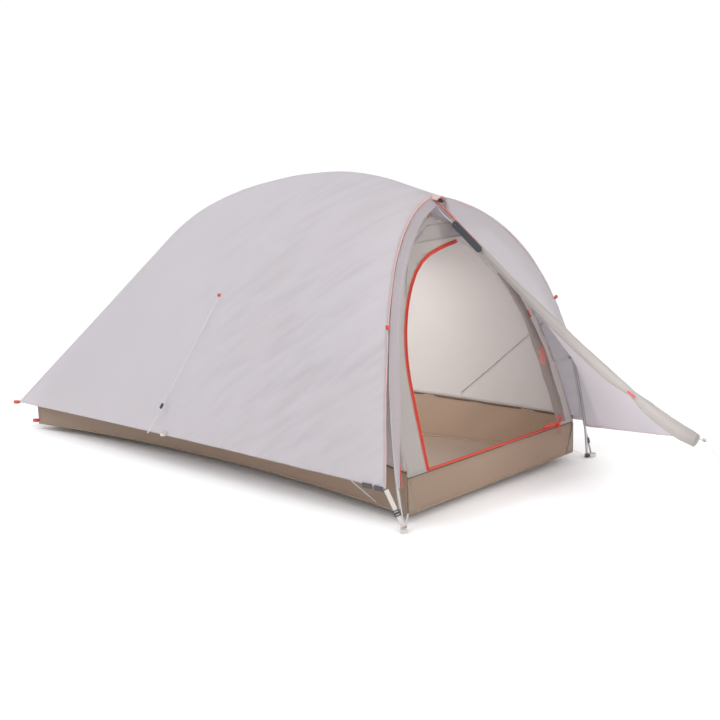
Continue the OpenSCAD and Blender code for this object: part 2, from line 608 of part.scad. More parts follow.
// The front hem corner is pulled out and back, clear of the pole
corner_flare = [13, 27, 0];
function fly_leg(v, s0 = hem_s) = leg_xyz(mix(s0, leg_length, v), fly_gap)
    + (fly_hub - leg_xyz(leg_length, fly_gap)) * pow(v, 10) + corner_flare * pow(1 - v, 5);
fly_front = [for (i = [0 : leg_steps]) fly_leg(i / leg_steps)];
fly_high = [for (i = [0 : panel_steps]) let (u = i / panel_steps)
    spine_xyz(u * apex_s, fly_gap, seam) + (fly_hub - spine_xyz(0, fly_gap, seam)) * pow(1 - u, 10)];
fly_corner = [hem_rear / 2, floor_length + hem_behind, hem_height - 18];
hem_belly = [6, 0, 8];
fly_low = [for (i = [0 : panel_steps]) let (u = i / panel_steps)
    mix(fly_front[0], fly_corner, u) + hem_belly * sin(180 * u)];
fly_back = line(fly_corner, fly_high[panel_steps], leg_steps);
fly_grid = patch(fly_low, fly_high, fly_front, fly_back);
module fly_right_side() { color("lightgray") in_place() panel(fly_grid); }
module fly_left_side() { mirror([1, 0, 0]) fly_right_side(); }

apex_2d = point_at(spine, apex_s, fly_gap);
rear_hem_2d = [floor_length + foot_behind + 40, hem_height - 8];
rear_knee = meet(apex_2d, normal_at(spine, apex_s) - 90, rear_hem_2d, -70);
fly_rear_edge = line(fly_corner, fly_high[panel_steps], rear_steps, rear_stop);
fly_rear_mid = [for (i = [0 : rear_steps]) let (p = bend(rear_hem_2d, rear_knee, apex_2d, rear_stop * i / rear_steps))
    [0, p[0], p[1]]];
module fly_rear() { color("lightgray") in_place() panel(bellied(fly_rear_edge, fly_rear_mid, 3 * seam)); }

// The porch's ridge sags from the hub to the tip
ridge_top = [hub_back, hub_height + fly_gap];
ridge_tip = [-tip_ahead, tip_height];
ridge_knee = meet(ridge_top, 41, ridge_tip, 16);
function ridge(t, x = seam) = let (p = bend(ridge_top, ridge_knee, ridge_tip, t)) [x, p[0], p[1]];
porch_steps = 24;
porch_top = 0.96;
porch_columns = 10;
porch_hem_s = leg_at_height(hem_height - porch_drop);
porch_edge = [for (i = [0 : porch_steps]) fly_leg(porch_top * i / porch_steps, porch_hem_s) + [0, -3 * seam, 0]];
porch_ridge = [for (i = [0 : porch_steps]) ridge(1 - porch_top * i / porch_steps)];
porch_in = unit([-0.6, 0.45, -0.6]);
porch_grid = [for (i = [0 : porch_steps]) [for (j = [0 : porch_columns])
    let (k = j / porch_columns, rise = sin(180 * pow(i / porch_steps, 0.8)))
    mix(porch_edge[i], porch_ridge[i], k) + porch_in * porch_hollow * 4 * k * (1 - k) * rise]];
module fly_porch() { color("lightgray") in_place() panel(porch_grid); }

// The zip's flap starts at the left leg and slants in over the doorway
flap_slant = 40;
flap_start = 4;
function on_flap(s, d, raise = 0) =
    leg_xyz(s, fly_gap - d * cos(flap_slant) - raise * sin(flap_slant), d * sin(flap_slant) - raise * cos(flap_slant));
flap_steps = 44;
flap_top = leg_length - 14;
flap_end = leg_length - 58;
flap_foot = 14;
function flap_line(wide) = [for (i = [0 : flap_steps]) let (u = i / flap_steps)
    on_flap(mix(hem_s, flap_top, u), wide ? mix(flap_foot, flap_width, min(1, u / 0.2)) : flap_start)];
module fly_zip_flap() {
    color("lightgray") in_place() mirror([1, 0, 0]) panel(ruled(flap_line(false), flap_line(true), 2));
}
// The zip's teeth run behind the flap
zip_in = 24;
zip_raise = 3.6;
zip_off = fly_gap - zip_in * cos(flap_slant) - zip_raise * sin(flap_slant);
zip_fore = zip_in * sin(flap_slant) - zip_raise * cos(flap_slant);
module fly_zip_coil() {
    color("tomato") in_place() mirror([1, 0, 0]) in_leg_plane() translate([0, 0, -zip_fore])
        bent_tube(leg, hem_s, flap_end, zip_d / 2, 0, zip_off);
}
fly_slider_s = flap_end - 16;
function fly_slider_z(s) = leg_z * cos(flap_slant) - leg_out(s) * sin(flap_slant);
module fly_zip_slider() {
    color("tomato") in_place() mirror([1, 0, 0])
        aim(leg_xyz(fly_slider_s, zip_off, zip_fore), leg_dir(fly_slider_s), fly_slider_z(fly_slider_s)) slider();
}
fly_pull_at = flip(leg_xyz(fly_slider_s, zip_off, zip_fore) + fly_slider_z(fly_slider_s) * (slider_top + 2 * eye_r + pull_gap));
module fly_zip_pull() { color("tomato") in_place() translate(fly_pull_at) rotate([0, 0, 20]) pull(); }

// The porch's left half is unzipped and rolled up along the ridge, then tied near the tip
tie_t = 0.655;
function roll_radius(t) = roll_r * lookup(t, [[0, 0.45], [0.15, 0.55], [0.4, 0.9], [tie_t - 0.08, 0.9], [tie_t, 0.55],
    [tie_t + 0.07, 0.95], [0.9, 1.15], [1, 1]]);
roll_top = 0.06;
roll_steps = 24;
function roll_centre(t) = ridge(t, -roll_radius(t) - cloth) - [0, 0, roll_radius(t) * 0.1];
roll_ts = [for (i = [0 : roll_steps]) mix(roll_top, 0.985, i / roll_steps)];
module fly_door_roll() {
    color("lightgray") in_place() swept([for (t = roll_ts) roll_centre(t)], [for (t = roll_ts) roll_radius(t)], 12);
}
tie_at = roll_centre(tie_t);
tie_dir = unit(roll_centre(tie_t + 0.02) - roll_centre(tie_t - 0.02));
tie_out = unit([-1, -0.3, 0.1]);
fly_toggle_at = tie_at + tie_out * (roll_radius(tie_t) + 9);
module fly_door_toggle() { color("tomato") in_place() aim(fly_toggle_at, tie_dir, tie_out) toggle(); }

// A stiff strut at the top of the rolled half props it open as a vent
strut_t0 = 0.075;
strut_out = unit([-1, -0.25, 0]);
strut_at = roll_centre(strut_t0) + strut_out * (roll_radius(0.25) + 5);
strut_dir = unit(ridge(strut_t0 + 0.08) - ridge(strut_t0));
module vent_strut() {
    color("darkslategray") in_place() aim(strut_at, strut_dir, strut_out) translate([0, 0, -1.5]) {
        difference() {
            union() {
                translate([0, -strut_width / 2, 0]) cube([strut_length - strut_width / 2, strut_width, 3]);
                translate([strut_length - strut_width / 2, 0, 0]) cylinder(r = strut_width / 2, h = 3, $fn = 48);
                cylinder(r = strut_width / 2, h = 3, $fn = 48);
            }
            translate([0, 0, -1]) cylinder(r = 2.5, h = 5, $fn = 32);
        }
    }
}

// ---- Tabs, loops, straps and guylines
// A folded webbing tab that stands out along X, with its eye's axis along Z
module eyelet(reach = 12, r = 3.2, wall = strap_t, height = 10) {
    translate([0, 0, -height / 2]) difference() {
        union() {
            translate([reach, 0, 0]) cylinder(r = r + wall, h = height, $fn = 32);
            translate([0, -r - wall, 0]) cube([reach, 2 * (r + wall), height]);
        }
        translate([reach, 0, -1]) cylinder(r = r, h = height + 2, $fn = 32);
    }
}
leg_tab_s = leg_at_height(hub_height * 0.615);
side_tab_u = 7;
side_tab_v = 10;
side_tab_normal = grid_normal(fly_grid, side_tab_u, side_tab_v);
side_tab_at = mix(mix(fly_grid[side_tab_u][side_tab_v - 1], fly_grid[side_tab_u][side_tab_v], 0.6),
    mix(fly_grid[side_tab_u + 1][side_tab_v - 1], fly_grid[side_tab_u + 1][side_tab_v], 0.6), 0.2)
    + side_tab_normal * (cloth / 2 + 2 * seam);
module guy_tabs() {
    color("tomato") in_place() both_sides() {
        aim(leg_xyz(leg_tab_s, fly_gap + cloth + seam), leg_out(leg_tab_s), leg_dir(leg_tab_s)) eyelet();
        aim(side_tab_at, side_tab_normal, [0, 0, 1]) eyelet();
    }
}
// Loops at the hem: rear corners, the middle of each side, the tub's rear corners and the porch tip
module stake_loop(at, along, reach = 16) { aim(at, along, [0, 0, 1]) eyelet(reach, stake_r, strap_t, 12); }
corner_dir = unit([0.35, 1, 0]);
hem_mid = fly_low[panel_steps / 2];
tub_rear_corner = [floor_rear / 2, floor_length, edge_lift + 12];
front_out = unit([0.8, -0.6, 0]);
front_loop_at = [leg_foot[0], leg_foot[1], 0] + front_out * (cup_r + seam) + [0, 0, 7];
module hem_loops() {
    color("tomato") in_place() {
        both_sides() {
            stake_loop(fly_corner + corner_dir * (cloth + seam), corner_dir);
            stake_loop(hem_mid + [cloth + seam, 0, 7], [1, 0, 0], 10);
            stake_loop(tub_rear_corner + corner_dir * (2 * cloth + seam), corner_dir);
            stake_loop(front_loop_at, front_out);
        }
        aim(ridge(1, 0) + [0, -cloth - seam, 0], [0, -1, -0.3], [1, 0, 0]) eyelet(8, 3.2, strap_t, 10);
    }
}
module hem_tags() {
    color("dimgray") in_place() for (k = [[0.2, 36], [0.55, 40]])
        translate(flip(mix(fly_low[0], fly_low[2], k[0] / 2)) + [-3 * cloth - seam, 0, 3]) translate([0, -k[1] / 2, -14])
            cube([cloth, k[1], 16]);
}
// Webbing from the fly's corner down to the foot's cup, held by a ladder-lock buckle
strap_top = fly_front[0] + front_out * 3 - [0, 0, cloth + seam];
strap_foot = [leg_foot[0], leg_foot[1], 0] + front_out * (cup_r + 7) + [0, 0, 15];
strap_dir = unit(strap_foot - strap_top);
module corner_straps() { color("lightgray") in_place() both_sides() strap(strap_top, strap_foot, front_out); }
buckle_length = 20;
buckle_wall = 3;
buckle_at = mix(strap_top, strap_foot, 0.62);
module right_strap_buckle() {
    color("black") in_place() aim(buckle_at, strap_dir, front_out) difference() {
        cube([buckle_length, strap_width + 2 * buckle_wall, strap_t + 4], center = true);
        cube([2 * buckle_length, strap_width + 1, strap_t + 0.8], center = true);
        for (e = [-1, 1]) translate([e * buckle_length / 4, 0, 3]) cube([4, strap_width + 1, 6], center = true);
    }
}
module left_strap_buckle() { mirror([1, 0, 0]) right_strap_buckle(); }
// Ties from the floor's front corners to the cups, and from the hem to the foot of the tub
module tub_ties() {
    color("dimgray") in_place() both_sides() {
        strap([floor_front / 2 + seam, -seam, edge_lift + 6], [leg_foot[0] - cup_r - 1.5, leg_foot[1], 8], [0, 0, 1], 6, 1.2);
        strap([half_width(150) + cloth + seam, 150, edge_lift + 8], mix(fly_low[0], fly_low[1], 1.05) - [1, 0, 2],
            [0, 1, 0], 4, 1);
    }
    color("dimgray") in_place()
        strap([0, floor_length + cloth + 2 * seam, edge_lift + 4], spine_xyz(spine_length) + [0, -cup_r - 1.5, 6], [0, 0, 1], 12, 1.2);
}

// The side guyline runs taut from its tab to the hem; the porch's runs from the tip to the ground
side_guy_top = [-382, 962, 650];
side_guy_foot = [-530, 1232, 136];
tip_guy_top = [0, -752, 250];
tip_guy_foot = [0, -1010, 6];
guy_rings = 8;
module guyline(p, q) { swept([for (i = [0 : guy_rings]) mix(p, q, i / guy_rings)], [for (i = [0 : guy_rings]) guy_d / 2]); }
module side_guyline() { color("lightgray") in_place() guyline(side_guy_top, side_guy_foot); }
module tip_guyline() { color("lightgray") in_place() guyline(tip_guy_top, tip_guy_foot); }
lock_at = mix(side_guy_top, side_guy_foot, 0.8);
module side_guy_lock() {
    color("black") in_place() aim(lock_at, side_guy_foot - side_guy_top, [-1, 0, 0.2]) difference() {
        cube([20, 9, 6], center = true);
        rotate([0, 90, 0]) cylinder(d = guy_d + 1, h = 40, center = true, $fn = 24);
    }
}

tub_floor();
tub_front_wall();
tub_rear_wall();
tub_left_wall();
tub_right_wall();
inner_front_wall();
inner_left_side();
inner_right_side();
inner_rear_wall();
inner_zip_tape();
inner_zip_coil();
inner_zip_slider();
inner_zip_pull();
inner_door_roll();
inner_door_toggle();
spine_pole_1();
spine_pole_2();
spine_pole_3();
spine_pole_4();
spine_pole_5();
spine_pole_6();
left_leg_1();
left_leg_2();
left_leg_3();
right_leg_1();
right_leg_2();
right_leg_3();
pole_ferrules();
shock_cords();
hub();
pole_tips();
left_foot_cup();
right_foot_cup();
rear_foot_cup();
pole_clips();
clip_tabs();
fly_left_side();
fly_right_side();
fly_rear();
fly_porch();
fly_zip_flap();
fly_zip_coil();
fly_zip_slider();
fly_zip_pull();
fly_door_roll();
fly_door_toggle();
vent_strut();
guy_tabs();
hem_loops();
hem_tags();
corner_straps();
tub_ties();
left_strap_buckle();
right_strap_buckle();
side_guyline();
side_guy_lock();
tip_guyline();
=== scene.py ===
"""A one-person hiking tent: a pale fly on a Y of poles over a hung inner with a tan floor.

Metres, +Z up, the door end towards -Y, the origin under the middle of the tent.
"""

import math

import bmesh
import bpy
from mathutils import Matrix, Vector, kdtree, noise


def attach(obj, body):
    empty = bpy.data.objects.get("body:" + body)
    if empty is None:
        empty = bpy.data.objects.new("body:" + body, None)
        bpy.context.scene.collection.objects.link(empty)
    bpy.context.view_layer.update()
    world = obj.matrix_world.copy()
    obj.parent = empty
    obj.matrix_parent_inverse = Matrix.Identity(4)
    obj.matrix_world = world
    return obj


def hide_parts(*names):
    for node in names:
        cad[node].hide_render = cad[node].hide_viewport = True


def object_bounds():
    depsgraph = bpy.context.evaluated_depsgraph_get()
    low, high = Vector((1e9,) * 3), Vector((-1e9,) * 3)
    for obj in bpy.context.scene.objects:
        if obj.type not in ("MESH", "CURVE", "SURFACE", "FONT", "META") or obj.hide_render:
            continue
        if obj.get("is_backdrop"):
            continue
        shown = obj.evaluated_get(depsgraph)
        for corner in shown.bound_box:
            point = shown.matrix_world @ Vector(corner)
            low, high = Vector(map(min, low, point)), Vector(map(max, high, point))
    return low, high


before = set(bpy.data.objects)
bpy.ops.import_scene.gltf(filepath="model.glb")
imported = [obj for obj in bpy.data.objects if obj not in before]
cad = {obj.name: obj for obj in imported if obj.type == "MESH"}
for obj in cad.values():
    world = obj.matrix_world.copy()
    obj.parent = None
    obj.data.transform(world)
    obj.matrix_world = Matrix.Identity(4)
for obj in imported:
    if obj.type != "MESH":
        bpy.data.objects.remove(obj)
cad_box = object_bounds()

# ---------------------------------------------------------------- camera, light and floor
# A long lens at the height of the ridge, off the tent's front left corner, in a white
# studio: one broad lamp up on the left, a weaker one by the door, and a bright surround.
# Three small lamps that the camera can't see light the inside and the space under the porch.
CAMERA_AT = Vector((-3.05412, -2.87465, 1.05663))
CAMERA_TURN, CAMERA_DIP, CAMERA_ROLL = -0.846752, 0.16144, -0.027009
backward = Vector((
    math.sin(CAMERA_TURN) * math.cos(CAMERA_DIP),
    -math.cos(CAMERA_TURN) * math.cos(CAMERA_DIP),
    math.sin(CAMERA_DIP)))
level = Vector((math.cos(CAMERA_TURN), math.sin(CAMERA_TURN), 0))
upward = level.cross(-backward)
across = math.cos(CAMERA_ROLL) * level + math.sin(CAMERA_ROLL) * upward
above = -math.sin(CAMERA_ROLL) * level + math.cos(CAMERA_ROLL) * upward
camera = bpy.data.objects.new("camera", bpy.data.cameras.new("camera"))
camera.data.sensor_width = 36
camera.data.lens = 55.16
camera.data.clip_end = 60
camera.matrix_world = Matrix.Translation(CAMERA_AT) @ Matrix((across, above, backward)).transposed().to_4x4()
bpy.context.collection.objects.link(camera)
bpy.context.scene.camera = camera


def lamp(name, at, size, power, colour, aim=(0, 0, 0.4)):
    data = bpy.data.lights.new(name, "AREA")
    data.size, data.energy, data.color = size, power, colour
    piece = bpy.data.objects.new(name, data)
    piece.location = at
    piece.rotation_euler = (Vector(aim) - Vector(at)).to_track_quat("-Z", "Y").to_euler()
    piece.visible_camera = piece.visible_glossy = False
    bpy.context.collection.objects.link(piece)


lamp("sky_lamp", (-3.2, 1.2, 4.6), 3.2, 130, (0.95, 0.97, 1))
lamp("door_lamp", (-1.0, -5.2, 2.6), 2.4, 60, (1, 0.97, 0.94))
lamp("inner_lamp", (-0.24, -0.1, 0.4), 0.5, 5.4, (1, 0.98, 0.97), aim=(0.5, -0.1, 0.25))
lamp("floor_lamp", (-0.02, -0.25, 0.72), 0.3, 1.4, (1, 0.98, 0.97), aim=(0.1, -0.25, 0))
lamp("porch_lamp", (-0.25, -1.3, 0.45), 0.5, 1.0, (1, 0.98, 0.97), aim=(0.35, -0.9, 0.4))
surround = bpy.data.worlds.new("surround")
surround.use_nodes = True
surround.node_tree.nodes["Background"].inputs["Color"].default_value = (1, 1, 1, 1)
surround.node_tree.nodes["Background"].inputs["Strength"].default_value = 1.03
bpy.context.scene.world = surround
bpy.context.scene.view_settings.view_transform = "Standard"


class Wire:
    """The output of a shader node, which takes Python's operators."""

    def __init__(self, finish, socket):
        self.finish, self.socket = finish, socket

    def maths(self, operation, a, b=0.0):
        return self.finish.node("ShaderNodeMath", {"operation": operation}, **{"0": a, "1": b})

    def __add__(self, other):
        return self.maths("ADD", self, other)

    def __sub__(self, other):
        return self.maths("SUBTRACT", self, other)

    def __rsub__(self, other):
        return self.maths("SUBTRACT", other, self)

    def __mul__(self, other):
        return self.maths("MULTIPLY", self, other)

    def __truediv__(self, other):
        return self.maths("DIVIDE", self, other)

    def __lt__(self, other):
        return self.maths("LESS_THAN", self, other)

    def __gt__(self, other):
        return self.maths("GREATER_THAN", self, other)

    def __abs__(self):
        return self.maths("ABSOLUTE", self)

    def part(self, period):
        """How far through its period the value is, from 0 to 1."""
        return self.maths("FRACT", self / period)

    __radd__, __rmul__ = __add__, __mul__


class Finish:
    """A material with one Principled shader, whose maths is written with Wires."""

    def __init__(self, name, colour, roughness, metallic=0.0, **fixed):
        self.material = bpy.data.materials.new(name)
        self.material.use_nodes = True
        self.tree = self.material.node_tree
        self.shader = self.tree.nodes["Principled BSDF"]
        self.colour = colour
        self.paint(colour)
        self.shader.inputs["Roughness"].default_value = roughness
        self.shader.inputs["Metallic"].default_value = metallic
        for socket, value in fixed.items():
            self.shader.inputs[socket.replace("_", " ")].default_value = value

    def node(self, kind, settings=None, out=0, **sockets):
        made = self.tree.nodes.new(kind)
        for key, value in (settings or {}).items():
            setattr(made, key, value)
        for key, value in sockets.items():
            socket = made.inputs[int(key)] if key.isdigit() else made.inputs[key.replace("_", " ")]
            if isinstance(value, Wire):
                self.tree.links.new(value.socket, socket)
            else:
                socket.default_value = value
        return Wire(self, made.outputs[out])

    def paint(self, colour, socket="Base Color"):
        if isinstance(colour, Wire):
            self.tree.links.new(colour.socket, self.shader.inputs[socket])
        elif socket == "Base Color":
            self.shader.inputs[socket].default_value = (*colour, 1)
        else:
            self.shader.inputs[socket].default_value = colour

    def place(self):
        return self.node("ShaderNodeTexCoord", out=3)

    def axes(self):
        apart = self.node("ShaderNodeSeparateXYZ", Vector=self.place())
        return [Wire(self, apart.socket.node.outputs[i]) for i in range(3)]

    def grain(self, scale, detail=3.0, stretch=(1, 1, 1)):
        at = self.node("ShaderNodeMapping", Vector=self.place(), Scale=stretch)
        return self.node("ShaderNodeTexNoise", Vector=at, Scale=scale, Detail=detail)

    def blend(self, share, a, b):
        made = self.tree.nodes.new("ShaderNodeMix")
        made.data_type = "RGBA"
        for index, value in ((0, share), (6, a), (7, b)):
            if isinstance(value, Wire):
                self.tree.links.new(value.socket, made.inputs[index])
            else:
                made.inputs[index].default_value = (*value, 1) if index else value
        return Wire(self, made.outputs[2])

    def raised(self, height, strength, distance=0.001):
        bump = self.node("ShaderNodeBump", Height=height, Strength=strength, Distance=distance)
        self.paint(bump, "Normal")


def darker(colour, share):
    return tuple(c * share for c in colour)


studio_floor = Finish("studio_floor", (0.97, 0.97, 0.97), 0.9)
studio_floor.paint(studio_floor.blend(studio_floor.grain(3), (0.965, 0.965, 0.965), (0.975, 0.975, 0.975)))
bm = bmesh.new()
bmesh.ops.create_grid(bm, x_segments=8, y_segments=8, size=14)
bmesh.ops.translate(bm, verts=bm.verts, vec=(0, 0, -0.002))
floor_mesh = bpy.data.meshes.new("studio_floor")
bm.to_mesh(floor_mesh)
bm.free()
studio = bpy.data.objects.new("studio_floor", floor_mesh)
studio.data.materials.append(studio_floor.material)
bpy.context.collection.objects.link(studio)
studio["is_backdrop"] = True

# ---------------------------------------------------------------- guylines
# Thin braided cord. One runs taut from the tab on the left side down to a knot at the hem.
# The other runs taut from the porch's tip to a stake loop in the ground, out of view.
CORD_D = 0.0024
SIDE_TOP, SIDE_FOOT = Vector((-0.382, 0.1695, 0.65)), Vector((-0.53, 0.4395, 0.136))
TIP_TOP, TIP_FOOT = Vector((0, -1.5445, 0.25)), Vector((0, -1.8025, 0.006))

cord_finish = Finish("guyline_cord", (0.55, 0.55, 0.55), 0.75, Sheen_Weight=0.2)
x, y, z = cord_finish.axes()
plait = abs((z + y * 0.6).part(0.004) - 0.5)
cord_finish.paint(cord_finish.blend(plait * 1.6, (0.62, 0.61, 0.6), (0.42, 0.42, 0.43)))
cord_finish.raised(plait, 0.5, 0.0004)


def guyline(name, top, foot, node, points=20):
    line = bpy.data.curves.new(name, "CURVE")
    line.dimensions, line.bevel_depth, line.bevel_resolution = "3D", CORD_D / 2, 3
    line.use_fill_caps = True
    spline = line.splines.new("POLY")
    spline.points.add(points - 1)
    for i, point in enumerate(spline.points):
        t = i / (points - 1)
        at = top.lerp(foot, t) - Vector((0, 0, 0.003 * math.sin(math.pi * t)))
        point.co = (*at, 1)
    piece = bpy.data.objects.new(name, line)
    bpy.context.collection.objects.link(piece)
    piece.data.materials.append(cord_finish.material)
    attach(piece, "tent")
    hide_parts(node)
    return piece


def finished(name, bm, finish, body="tent", smooth=True):
    """Puts a bmesh into the scene as a piece that rides on a body."""
    mesh = bpy.data.meshes.new(name)
    bm.to_mesh(mesh)
    bm.free()
    for face in mesh.polygons:
        face.use_smooth = smooth
    piece = bpy.data.objects.new(name, mesh)
    mesh.materials.append(finish.material)
    bpy.context.collection.objects.link(piece)
    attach(piece, body)
    return piece


def knot(name, at, radius=0.0032):
    """Three turns of cord drawn tight, as a lumpy ball."""
    bm = bmesh.new()
    bmesh.ops.create_icosphere(bm, subdivisions=3, radius=radius)
    for v in bm.verts:
        v.co *= 1 + 0.16 * math.sin(3 * math.atan2(v.co.y, v.co.x) + 900 * v.co.z)
    bmesh.ops.translate(bm, verts=bm.verts, vec=at)
    return finished(name, bm, cord_finish)


side_knot = knot("side_guyline_knot", SIDE_FOOT)
tip_knot = knot("tip_guyline_knot", TIP_FOOT)
guyline("side_guyline_cord", SIDE_TOP, SIDE_FOOT, "side_guyline")
guyline("tip_guyline_cord", TIP_TOP, TIP_FOOT, "tip_guyline")

# ---------------------------------------------------------------- the tub floor
# Coated tan ripstop: a flat floor whose edges are drawn up off the ground, and four walls.
# A dark brown tape binds the top of the walls, and the corners are faced with a second layer.
CLOTH = 0.0012
TAN, TAN_DARK = (0.5, 0.375, 0.285), (0.32, 0.235, 0.165)


def woven(name, colour, shade, rib=0.0016, roughness=0.75):
    """Narrow webbing or tape with ribs across it."""
    finish = Finish(name, colour, roughness, Sheen_Weight=0.2)
    x, y, z = finish.axes()
    ribs = abs((x * 0.8 + y + z * 0.9).part(rib) - 0.5)
    finish.paint(finish.blend(ribs * 1.2 + finish.grain(70) * 0.4, colour, shade))
    finish.raised(ribs, 0.5, 0.0004)
    return finish


def cloth_finish(name, colour, shade, roughness, alpha, through=0.0, hem=0.012, grid=0.006, turn=(1, 1),
                 edging=None):
    """Ripstop cloth: a faint grid of thicker threads, a doubled hem and a row of stitches.

    alpha is how much of what lies behind it hides, and through is the share of light it passes.
    """
    finish = Finish(name, colour, roughness, Sheen_Weight=0.15, Sheen_Roughness=0.6)
    x, y, z = finish.axes()
    edge = finish.node("ShaderNodeAttribute", {"attribute_name": "edge"}, out=2)
    threads = ((y * turn[0] + x * turn[1]).part(grid) < 0.1) + (z.part(grid) < 0.1)
    weave = (x + y + z).part(0.0009)
    doubled = edge < hem
    dashes = (x * 1.3 + y + z * 1.1).part(0.005) < 0.6
    stitch = (abs(edge - hem * 0.8) < 0.0012) * dashes
    mottle = finish.grain(2.2, 4)
    tint = finish.blend(mottle, colour, shade)
    tint = finish.blend(threads * 0.05 + doubled * 0.1, tint, darker(shade, 0.8))
    if edging:
        tint = finish.blend(doubled * 0.5, tint, edging)
    finish.paint(finish.blend(stitch * 0.5, tint, darker(colour, 0.55)))
    finish.raised(threads * 0.4 + weave * 0.15 - stitch + doubled * 0.6 + finish.grain(60, 2) * 0.5, 0.35, 0.0006)
    if alpha < 1:
        finish.paint(doubled * (1 - alpha) * 0.5 + (threads * 0.02 + alpha), "Alpha")
    if through:
        light = finish.node("ShaderNodeBsdfTranslucent", Color=(*colour, 1))
        mix = finish.node("ShaderNodeMixShader", Fac=through)
        finish.tree.links.new(finish.shader.outputs[0], mix.socket.node.inputs[1])
        finish.tree.links.new(light.socket, mix.socket.node.inputs[2])
        finish.tree.links.new(mix.socket, finish.tree.nodes["Material Output"].inputs["Surface"])
    return finish


def cloth_face(node, away, levels, least=0.3):
    """The face of a CAD cloth panel that looks away, made finer, to be creased and thickened."""
    bm = bmesh.new()
    bm.from_mesh(cad[node].data)
    bmesh.ops.remove_doubles(bm, verts=bm.verts, dist=1e-5)
    bm.normal_update()
    away = Vector(away).normalized()
    bmesh.ops.delete(bm, geom=[f for f in bm.faces if f.normal.dot(away) < least], context="FACES")
    bmesh.ops.join_triangles(bm, faces=bm.faces, angle_face_threshold=0.6, angle_shape_threshold=2.5,
                             cmp_seam=False, cmp_sharp=False, cmp_uvs=False, cmp_vcols=False, cmp_materials=False)
    mesh = bpy.data.meshes.new("coarse")
    bm.to_mesh(mesh)
    bm.free()
    coarse = bpy.data.objects.new("coarse", mesh)
    bpy.context.collection.objects.link(coarse)
    finer = coarse.modifiers.new("finer", "SUBSURF")
    finer.levels = finer.render_levels = levels
    finer.boundary_smooth = "PRESERVE_CORNERS"
    bpy.context.view_layer.update()
    fine = bmesh.new()
    fine.from_object(coarse, bpy.context.evaluated_depsgraph_get())
    bpy.data.objects.remove(coarse)
    return fine


def creased(bm, height):
    """Moves each vertex along its normal by height(place), in metres."""
    bm.normal_update()
    moves = [(v, v.normal * height(v.co)) for v in bm.verts]
    for v, move in moves:
        v.co += move


def measured_edges(bm):
    """Stores how far each vertex is from the cloth's free edge, for hems and stitches."""
    rim = [v.co for v in bm.verts if v.is_boundary]
    tree = kdtree.KDTree(len(rim))
    for i, at in enumerate(rim):
        tree.insert(at, i)
    tree.balance()
    layer = bm.verts.layers.float.new("edge")
    for v in bm.verts:
        v[layer] = tree.find(v.co)[2]


def sheet(name, bm, finish, node, thick=CLOTH, replaces=True):
    """Finishes a cloth panel: hems measured, thickness inwards, and the CAD panel it replaces hidden."""
    measured_edges(bm)
    piece = finished(name, bm, finish)
    solid = piece.modifiers.new("thickness", "SOLIDIFY")
    solid.thickness, solid.offset = thick, -1
    if replaces:
        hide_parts(node)
    return piece


def folds(at, slope, across_waves, along_waves, seed):
    """Folds in a side panel that run at a slope: quick to change across them, slow along them."""
    along = at.y * math.cos(slope) + at.z * math.sin(slope)
    side = at.z * math.cos(slope) - at.y * math.sin(slope)
    return noise.noise(Vector((along * along_waves, side * across_waves, seed)))


def swept(path, radius_of, segments=12, squash=(1, 1), up=(0, 0, 1)):
    """Rings along a path, bridged into a closed skin. radius_of takes the share of the path and the angle."""
    bm = bmesh.new()
    last = None
    for i, at in enumerate(path):
        along = (path[min(i + 1, len(path) - 1)] - path[max(i - 1, 0)]).normalized()
        side = along.cross(Vector(up)).normalized()
        top = side.cross(along)
        ring = bmesh.ops.create_circle(bm, segments=segments, radius=1)["verts"]
        for k, v in enumerate(ring):
            angle = math.tau * k / segments
            r = radius_of(i / (len(path) - 1), angle)
            v.co = at + side * (math.cos(angle) * r * squash[0]) + top * (math.sin(angle) * r * squash[1])
        edges = list({e for v in ring for e in v.link_edges})
        if last:
            bmesh.ops.bridge_loops(bm, edges=last + edges)
        last = edges
    bmesh.ops.holes_fill(bm, edges=[e for e in bm.edges if e.is_boundary], sides=0)
    bmesh.ops.recalc_face_normals(bm, faces=bm.faces)
    return bm


tub_finish = cloth_finish("tub_cloth", TAN, darker(TAN, 0.92), 0.55, 1, through=0.5, hem=0.012, turn=(1, 1))
# The floor is the walls' tan cloth painted darker, as painted shade inside the tent.
shaded_floor_finish = cloth_finish("tub_floor_shaded_cloth", darker(TAN, 0.56), darker(TAN, 0.5), 0.5, 1, hem=0.012)

bm = cloth_face("tub_floor", (0, 0, 1), 2)
creased(bm, lambda p: 0.002 * noise.noise(p * 4) * min(1, max(0, (p.z - 0.0012) / 0.01)) if p.z > 0.003 else 0)
sheet("tub_floor_sheet", bm, shaded_floor_finish, "tub_floor")

for side, sign in (("left", -1), ("right", 1)):
    bm = cloth_face(f"tub_{side}_wall", (sign, 0, 0), 3)
    creased(bm, lambda p: 0.004 * noise.noise(Vector((p.y * 9 + p.z * 6, p.z * 5, sign * 3))))
    sheet(f"tub_{side}_sheet", bm, tub_finish, f"tub_{side}_wall")
for end, sign in (("front", -1), ("rear", 1)):
    bm = cloth_face(f"tub_{end}_wall", (0, sign, 0), 0)
    bmesh.ops.subdivide_edges(bm, edges=bm.edges, cuts=30, use_grid_fill=True)
    creased(bm, lambda p: 0.0016 * noise.noise(Vector((p.x * 7 - p.z * 5, p.z * 4, sign * 5))))
    sheet(f"tub_{end}_sheet", bm, tub_finish, f"tub_{end}_wall")


def tub_half(u):
    """Half the floor's width, from its door end at u = 0 to its foot end at 1."""
    return (0.99 * (1 - u) + 0.805 * u) / 2 - 0.09 * 4 * u * (1 - u)


def tub_rim(u, sign):
    return Vector((sign * tub_half(u), -0.7925 + 2.18 * u, 0.165 - 0.045 * u * u + 0.049 * math.sin(math.pi * u)))


